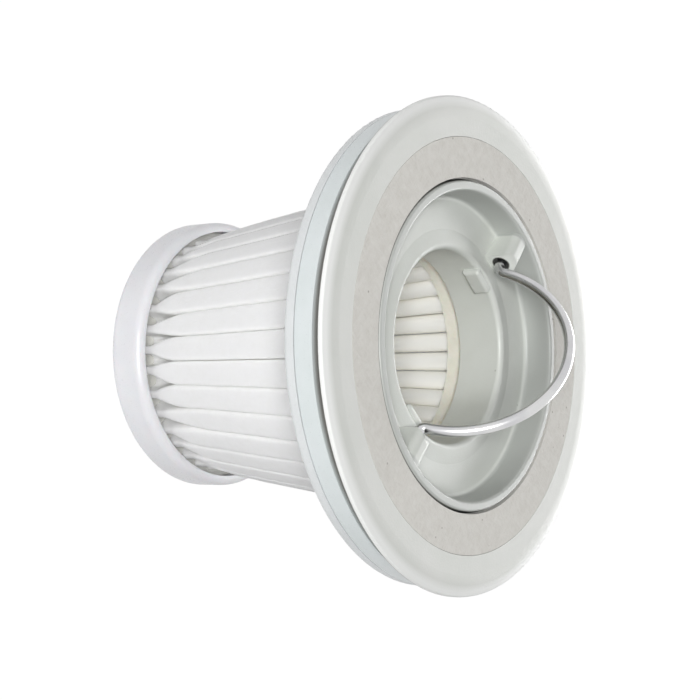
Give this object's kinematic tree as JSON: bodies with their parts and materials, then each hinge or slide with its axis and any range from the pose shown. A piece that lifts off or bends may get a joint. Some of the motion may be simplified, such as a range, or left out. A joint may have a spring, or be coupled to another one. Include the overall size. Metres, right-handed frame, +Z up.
{
  "type": "vacuum filter",
  "caption": "Cone-shaped pleated filter for a hand-held vacuum, with a closed white end cap, a sealing flange with a felt ring and a folding wire bail for pulling it out.",
  "frame": {"origin": "middle of the end cap's foot, on the surface that the filter stands on", "axes": "+Z up the filter's axis to the flange face, X along the bail's hinge"},
  "size_m": [0.058, 0.058, 0.0524],
  "materials": {
    "cap_white": "gloss white moulded plastic",
    "cap_glue": "set adhesive, satin",
    "filter_sheet": "white nonwoven filter sheet",
    "collar_glue": "cream set adhesive, satin",
    "collar_white": "white moulded plastic",
    "band_white": "gloss white moulded plastic",
    "seal_grey": "pale grey soft rubber, matt",
    "felt_beige": "beige pressed felt",
    "frame_grey": "pale grey moulded plastic, satin",
    "steel_wire": "bright drawn steel wire"
  },
  "bodies": {
    "filter": {"end_cap": "cap_white", "cap_potting": "cap_glue", "pleated_media": "filter_sheet", "collar_potting": "collar_glue", "media_collar": "collar_white", "flange_body": "band_white", "seal_ring": "seal_grey", "face_pad": "felt_beige", "handle_frame": "frame_grey"},
    "bail": {"wire_bail": "steel_wire"}
  },
  "joints": [
    {"name": "bail_swing", "type": "hinge", "parent": "filter", "child": "bail", "pos_m": [0, 0, 0.04005], "axis": [1, 0, 0], "range_deg": [-112, 68]}
  ]
}
